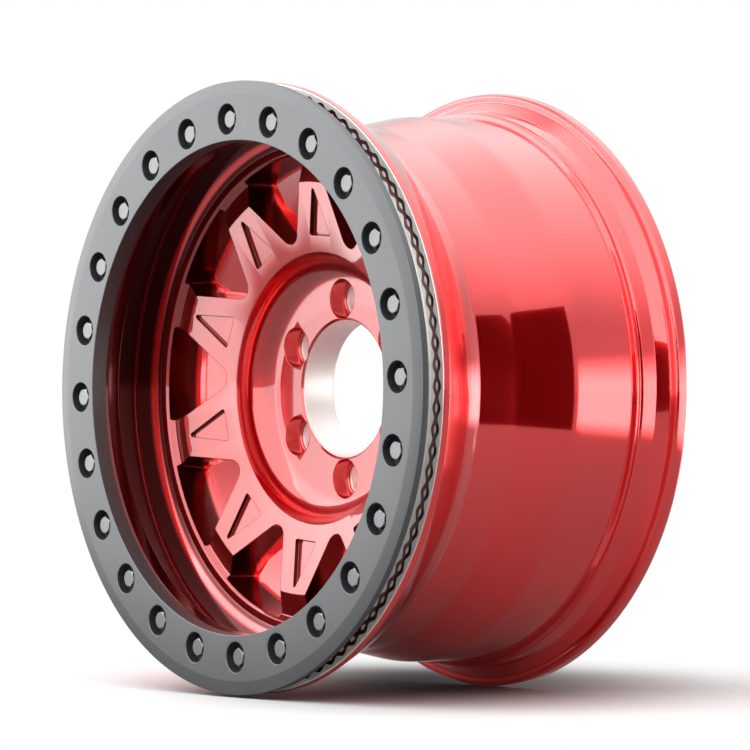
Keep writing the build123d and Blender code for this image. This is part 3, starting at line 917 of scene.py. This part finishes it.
def lug_cutter():
    """Lug hole with its conical seat, and the round pocket before it."""
    top, seat, end = HUB_FACE - LUG_POCKET_TOP, LUG_SEAT_DEPTH, PAD_DEPTH + CUT_CLEAR
    profile = [
        (0.0, top), (LUG_POCKET_R, top), (LUG_POCKET_R, seat - LUG_POCKET_CHAMFER),
        (LUG_POCKET_R - LUG_POCKET_CHAMFER, seat), (LUG_SEAT_R, seat),
        (LUG_HOLE_R, seat + LUG_CONE), (LUG_HOLE_R, end), (0.0, end)]
    return turned_beside("lug", profile, steps=64, centre_r=LUG_R)


def relief_cutter(steps=8):
    """Lightening pocket in the pad: a slot with round ends that follows the lug circle."""
    half, width = RELIEF_HALF_ANGLE, RELIEF_HALF_WIDTH
    cap = []
    for k in range(1, steps):
        t = math.pi * k / steps
        r, side = LUG_R + width * math.cos(t), width * math.sin(t)
        cap.append((r * math.cos(half) - side * math.sin(half),
                    r * math.sin(half) + side * math.cos(half)))
    outline = arc_points(LUG_R + width, -half, half, steps) + cap
    outline += arc_points(LUG_R - width, half, -half, steps) + [(x, -z) for x, z in reversed(cap)]
    depths = (PAD_DEPTH - RELIEF_DEPTH, PAD_DEPTH + CUT_CLEAR)
    return prism("relief", *[[on_plan(x, z, depth) for x, z in outline] for depth in depths])


class WHEEL_OT_casting(bpy.types.Operator):
    """Model the one-piece casting: rim, disc, spokes and hub"""
    bl_idname = "wheel.casting"
    bl_label = "Casting"

    def execute(self, context):
        shape = context.scene.wheel_shape
        profile = rounded(casting_profile(), shape.round_steps)
        casting = turned_piece("cast_wheel", profile, shape.steps)
        cutters = copies_about_axle(window_cutter(), SPOKES, WINDOW_TURN)
        cutters += copies_about_axle(pocket_cutter(), SPOKES, SPOKE_TURN)
        cutters += copies_about_axle(back_pocket_cutter(), SPOKES, SPOKE_TURN)
        cutters += copies_about_axle(lug_cutter(), LUGS, LUG_TURN)
        cutters += copies_about_axle(relief_cutter(), LUGS, RELIEF_TURN)
        cut_away(casting, cutters)
        finish_piece(casting, "wheel_casting", bpy.data.materials["candy_lacquer"])
        return {"FINISHED"}


class WHEEL_OT_ring(bpy.types.Operator):
    """Model the beadlock ring with its counterbored holes"""
    bl_idname = "wheel.ring"
    bl_label = "Beadlock ring"

    def execute(self, context):
        shape = context.scene.wheel_shape
        pilot_r = BEAD_R - RING_PILOT_GAP
        ring = turned_piece("clamp_ring", rounded([
            (RING_BORE_R, RING_EDGE, 0.1),
            (RING_BORE_R + RING_EDGE, 0.0, 0.1),
            (RING_OUT_R - RING_BEVEL_WIDTH, 0.0, 0.3),
            (RING_OUT_R, RING_BEVEL_DROP, 0.5),
            (RING_OUT_R, RING_LIP_THICKNESS - RING_LIP_BEVEL, 0.8),
            (RING_OUT_R - RING_LIP_BEVEL, RING_LIP_THICKNESS, 0.8),
            (pilot_r + RING_STEP_SLOPE, RING_LIP_THICKNESS, 0.5),
            (pilot_r, RING_THICKNESS, 0.3),
            (RING_BORE_R, RING_THICKNESS, 0.2),
        ], shape.round_steps), shape.steps)
        floor, end = HEAD_SEAT + WASHER_THICKNESS, RING_THICKNESS + CUT_CLEAR
        hole = turned_beside("counterbore", [
            (0.0, -CUT_CLEAR), (COUNTERBORE_R + RING_EDGE, -CUT_CLEAR),
            (COUNTERBORE_R + RING_EDGE, 0.0), (COUNTERBORE_R, RING_EDGE), (COUNTERBORE_R, floor),
            (BOLT_HOLE_R, floor), (BOLT_HOLE_R, end), (0.0, end)], steps=48, centre_r=BOLT_CIRCLE_R)
        cut_away(ring, copies_about_axle(hole, BOLTS, CLOCKING))
        finish_piece(ring, "beadlock_ring", bpy.data.materials["anodised_grey"])
        return {"FINISHED"}


class WHEEL_OT_fasteners(bpy.types.Operator):
    """Model the hex bolts and their washers"""
    bl_idname = "wheel.fasteners"
    bl_label = "Ring bolts and washers"

    def head(self):
        """Hexagonal head with its corners turned down to a flat round."""
        corner = HEAD_FLATS / 2 / math.cos(math.radians(30.0))
        hexagon = [(BOLT_CIRCLE_R + x, z) for x, z in arc_points(corner, 0.0, 2 * math.pi, 6)[:-1]]
        loops = [[on_plan(x, z, depth) for x, z in hexagon] for depth in (HEAD_RECESS, HEAD_SEAT)]
        head = prism("hex", *loops)
        # the cutter is a block whose underside slopes down from the flat's rim
        reach, top, fall = 12.0, 1.0, 3.59
        crown = [(0.0, top), (reach, top), (reach, HEAD_RECESS + fall),
                 (HEAD_FLATS / 2 - HEAD_RIM, HEAD_RECESS), (0.0, HEAD_RECESS)]
        cut_away(head, [turned_beside("crown", crown, steps=48, centre_r=BOLT_CIRCLE_R)])
        return head

    def shank(self):
        """Plain shank with a chamfered end."""
        end = HEAD_SEAT + BOLT_LENGTH
        return turned_beside("shank", [
            (0.0, HEAD_SEAT), (BOLT_R, HEAD_SEAT), (BOLT_R, end - BOLT_TIP_LENGTH), (BOLT_TIP_R, end),
            (0.0, end)], steps=24, centre_r=BOLT_CIRCLE_R)

    def washer(self):
        """Washer with rounded rims."""
        back = HEAD_SEAT + WASHER_THICKNESS
        section = rounded([
            (BOLT_HOLE_R, HEAD_SEAT, 0.2), (WASHER_R, HEAD_SEAT, 0.35), (WASHER_R, back, 0.35),
            (BOLT_HOLE_R, back, 0.2)], steps=2)
        return turned_beside("washer", section, steps=40, centre_r=BOLT_CIRCLE_R)

    def execute(self, context):
        bolt = joined("bolt", [self.head(), self.shank()])
        bolts = joined("ring_bolts", copies_about_axle(bolt, BOLTS, CLOCKING))
        finish_piece(bolts, "beadlock_bolts", bpy.data.materials["black_oxide"], angle=24.0)
        washers = joined("ring_washers", copies_about_axle(self.washer(), BOLTS, CLOCKING))
        finish_piece(washers, "bolt_washers", bpy.data.materials["black_washer_painted_shade"])
        return {"FINISHED"}


class WHEEL_OT_finishes(bpy.types.Operator):
    """Make the materials"""
    bl_idname = "wheel.finishes"
    bl_label = "Finishes"

    def execute(self, context):
        bolt = context.scene.wheel_finish.bolt
        polar = polar_group()
        turning = turning_group(polar)
        candy_material(polar, turning, bare_group(polar))
        ring_material(turning)
        bolt_material("black_oxide", bolt, BOLT_ROUGH)
        # the washers are black, painted darker than the bolts as shade in the counterbores
        bolt_material("black_washer_painted_shade", tone(bolt, WASHER_PAINTED_SHADE)[:3], WASHER_ROUGH)
        steel = bolt_material("plain_steel", STEEL, INSERT_ROUGH)
        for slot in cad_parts["thread_inserts"].material_slots:
            slot.material = steel
        return {"FINISHED"}


class WHEEL_OT_stage(bpy.types.Operator):
    """Set the floor, the lamps and the camera"""
    bl_idname = "wheel.stage"
    bl_label = "Stage"

    def soft_box(self, name, centre, facing, size, strength, fades):
        """An upright soft box. Strength is its brightness as the wheel sees it, where 1 is white.
        Fades are the shares of its width and height that darken towards each end."""
        up = Vector((0, 0, 1))
        aim = Vector(facing).normalized()
        bpy.ops.object.light_add(type="AREA", location=centre)
        box = bpy.context.object
        box.name = name
        box.visible_camera = False
        box.visible_diffuse = False
        box.rotation_euler = aim.to_track_quat("-Z", "Y").to_euler()
        lamp = box.data
        lamp.name = name
        lamp.shape = "RECTANGLE"
        lamp.size, lamp.size_y = size
        lamp.energy = strength * size[0] * size[1] * math.pi
        lamp.use_nodes = True
        g = Graph(lamp.node_tree)
        emission = next(n for n in lamp.node_tree.nodes if n.type == "EMISSION")
        point = g.add("ShaderNodeNewGeometry").outputs["Position"]
        glow = 1.0
        for axis, length, (start, end) in zip((aim.cross(up), up), size, fades):
            along = g.add("ShaderNodeVectorMath", operation="DOT_PRODUCT")
            g.feed(along.inputs[0], point)
            along.inputs[1].default_value = axis
            near = Vector(centre).dot(axis) - length / 2
            from_start = g.math("SUBTRACT", along.outputs["Value"], near)
            from_end = g.math("SUBTRACT", near + length, along.outputs["Value"])
            for inside, share in ((from_start, start), (from_end, end)):
                if share > 0:
                    glow = g.times(glow, g.step(inside, share * length / 2, share * length / 2))
        g.feed(emission.inputs["Strength"], glow)

    def black_card(self, name, centre, size, facing):
        """A black card, which only reflections see."""
        bpy.ops.mesh.primitive_plane_add(size=1.0, location=centre)
        card = bpy.context.object
        card.name = name
        card.scale = (*size, 1.0)
        card.rotation_euler = Vector(facing).to_track_quat("Z", "Y").to_euler()
        material, _, shader = new_material(name)
        shader.inputs["Base Color"].default_value = BLACK
        shader.inputs["Specular IOR Level"].default_value = 0.0
        card.data.materials.append(material)
        card.visible_camera = False
        card.visible_diffuse = False
        card.visible_shadow = False

    def shade_axis(self, g, x, y, axis, reach):
        """How far a floor point lies along one axis of the painted shadow, 1 at its reach."""
        start = SHADE_AT[0] * axis[0] + SHADE_AT[1] * axis[1]
        along = g.math("ADD", g.times(x, axis[0]), g.times(y, axis[1]))
        return g.math("DIVIDE", g.math("SUBTRACT", along, start), reach)

    def paper(self, colour):
        """Diffuse paper near the wheel, with a soft shadow painted into its colour for the camera behind
        the wheel, fading to plain white for the camera further out.
        """
        material, g, shader = new_material("paper")
        seen = g.add("ShaderNodeLightPath").outputs["Is Camera Ray"]
        shader.inputs["Roughness"].default_value = 0.9
        shader.inputs["Specular IOR Level"].default_value = 0.1
        x, y, _ = g.split(g.add("ShaderNodeTexCoord").outputs["Object"])
        along = self.shade_axis(g, x, y, SHADE_ALONG, SHADE_LENGTH)
        across = self.shade_axis(g, x, y, SHADE_ACROSS, SHADE_WIDTH)
        # a soft shadow painted into the colour that the camera sees
        shade = g.below(g.length(along, across), edge=0.6, soft=0.55)
        seen_colour = g.mix(shade, tone(colour), tone(colour, SHADE_DEPTH))
        g.feed(shader.inputs["Base Color"], g.mix(seen, tone(colour, PAPER_BOUNCE), seen_colour))
        far = g.step(g.length(x, y), edge=0.42, soft=0.16)
        blend = g.add("ShaderNodeMixShader")
        g.feed(blend.inputs["Fac"], g.times(seen, far))
        g.feed(blend.inputs[1], shader.outputs[0])
        g.feed(blend.inputs[2], g.add("ShaderNodeEmission").outputs[0])
        out = next(n for n in material.node_tree.nodes if n.type == "OUTPUT_MATERIAL")
        g.feed(out.inputs["Surface"], blend.outputs[0])
        return material

    def room(self, context):
        """White for the camera. The wheel's gloss mirrors a studio: bright in front, but dark on the
        left there with some light above it, and behind a grey wall under a bright ceiling. What is
        dull is lit from above in front, and weakly from behind."""
        world = bpy.data.worlds.new("studio")
        context.scene.world = world
        world.use_nodes = True
        world.cycles.sampling_method = "NONE"
        w = Graph(world.node_tree)
        background = next(n for n in world.node_tree.nodes if n.type == "BACKGROUND")
        path = w.add("ShaderNodeLightPath").outputs
        seen = w.math("MAXIMUM", path["Is Camera Ray"], path["Is Transmission Ray"])
        x, y, z = w.split(w.add("ShaderNodeTexCoord").outputs["Generated"])
        overhead = w.blend(w.step(z, edge=0.62, soft=0.3), HORIZON, OVERHEAD)
        left = w.blend(w.step(z, edge=0.3, soft=0.15), DARK_SIDE, UPPER_LEFT)
        front = w.blend(w.step(x, edge=-0.35, soft=0.1), left, FRONT_ROOM)
        mirrored = w.blend(w.step(y, edge=0.05, soft=0.25), front, overhead)
        above = w.times(w.step(z, edge=0.3, soft=0.25), FRONT_FILL)
        fill = w.blend(w.step(y, edge=-0.15, soft=0.35), above, BACK_FILL)
        lit = w.blend(path["Is Glossy Ray"], fill, mirrored)
        w.feed(background.inputs["Color"], (1.0, 1.0, 1.0, 1.0))
        w.feed(background.inputs["Strength"], w.blend(seen, lit, 1.0))

    def execute(self, context):
        stage = context.scene.wheel_stage
        bpy.ops.mesh.primitive_plane_add(size=30.0, location=(0, 0, CAD_BOX[0][2] - 0.3 * MM))
        floor = bpy.context.object
        floor.name = "floor"
        floor.data.materials.append(self.paper(stage.floor))

        # the large box that the ring and the spoke faces mirror
        self.soft_box("front_box", centre=(-0.81, -0.65, 0.55), facing=(0.81, 0.587, 0),
                      size=(1.35, 1.56), strength=3.4, fades=((0.1, 0.1), (0.08, 0.2)))
        # the strip that draws the bright bar along the barrel
        self.soft_box("side_strip", centre=(0.24, 0.233, -0.0125), facing=(-0.777, -0.629, 0),
                      size=(0.35, 0.135), strength=3.4, fades=((0.0, 0.2), (0.25, 0.4)))
        # the low box behind the wheel that the front cone mirrors
        self.soft_box("cone_box", centre=(0.22, 0.7, -0.02), facing=(0, -1, 0),
                      size=(0.36, 0.42), strength=2.6, fades=((0.2, 0.2), (0.0, 0.3)))
        # the near card leaves a black patch on the drop centre, the far one a line on the flange
        self.black_card("near_card", centre=(0.2825, 0.02, 0.027), facing=(-0.995, -0.1, 0),
                        size=(0.054, 0.158))
        self.black_card("far_card", centre=(0.666, -0.1765, 0.053), facing=(-0.9, -0.438, 0),
                        size=(0.47, 0.287))
        self.room(context)

        bpy.ops.object.camera_add(location=stage.camera_at, rotation=stage.camera_turn)
        camera = bpy.context.object
        camera.data.sensor_width = 36.0
        camera.data.sensor_fit = "HORIZONTAL"
        camera.data.lens = stage.lens
        camera.data.clip_end = 100.0
        context.scene.camera = camera
        context.scene.view_settings.view_transform = "Standard"
        return {"FINISHED"}


class WHEEL_PT_panel(bpy.types.Panel):
    """Buttons and values of the wheel"""
    bl_idname = "WHEEL_PT_panel"
    bl_label = "Beadlock wheel"
    bl_space_type = "VIEW_3D"
    bl_region_type = "UI"
    bl_category = "Wheel"

    def draw(self, context):
        for step in STEPS:
            self.layout.operator(step.bl_idname)
        for group in (context.scene.wheel_shape, context.scene.wheel_finish, context.scene.wheel_stage):
            for name in group.__annotations__:
                self.layout.prop(group, name)


STEPS = (WHEEL_OT_finishes, WHEEL_OT_casting, WHEEL_OT_ring, WHEEL_OT_fasteners, WHEEL_OT_stage)
CLASSES = (WheelShape, WheelFinish, WheelStage, *STEPS, WHEEL_PT_panel)


def register():
    for item in CLASSES:
        bpy.utils.register_class(item)
    bpy.types.Scene.wheel_shape = PointerProperty(type=WheelShape)
    bpy.types.Scene.wheel_finish = PointerProperty(type=WheelFinish)
    bpy.types.Scene.wheel_stage = PointerProperty(type=WheelStage)


def unregister():
    del bpy.types.Scene.wheel_shape
    del bpy.types.Scene.wheel_finish
    del bpy.types.Scene.wheel_stage
    for item in reversed(CLASSES):
        bpy.utils.unregister_class(item)


def main():
    """Make the wheel and its stage."""
    register()
    bpy.ops.wheel.finishes()
    bpy.ops.wheel.casting()
    bpy.ops.wheel.ring()
    bpy.ops.wheel.fasteners()
    bpy.ops.wheel.stage()


if __name__ == "__main__":
    main()
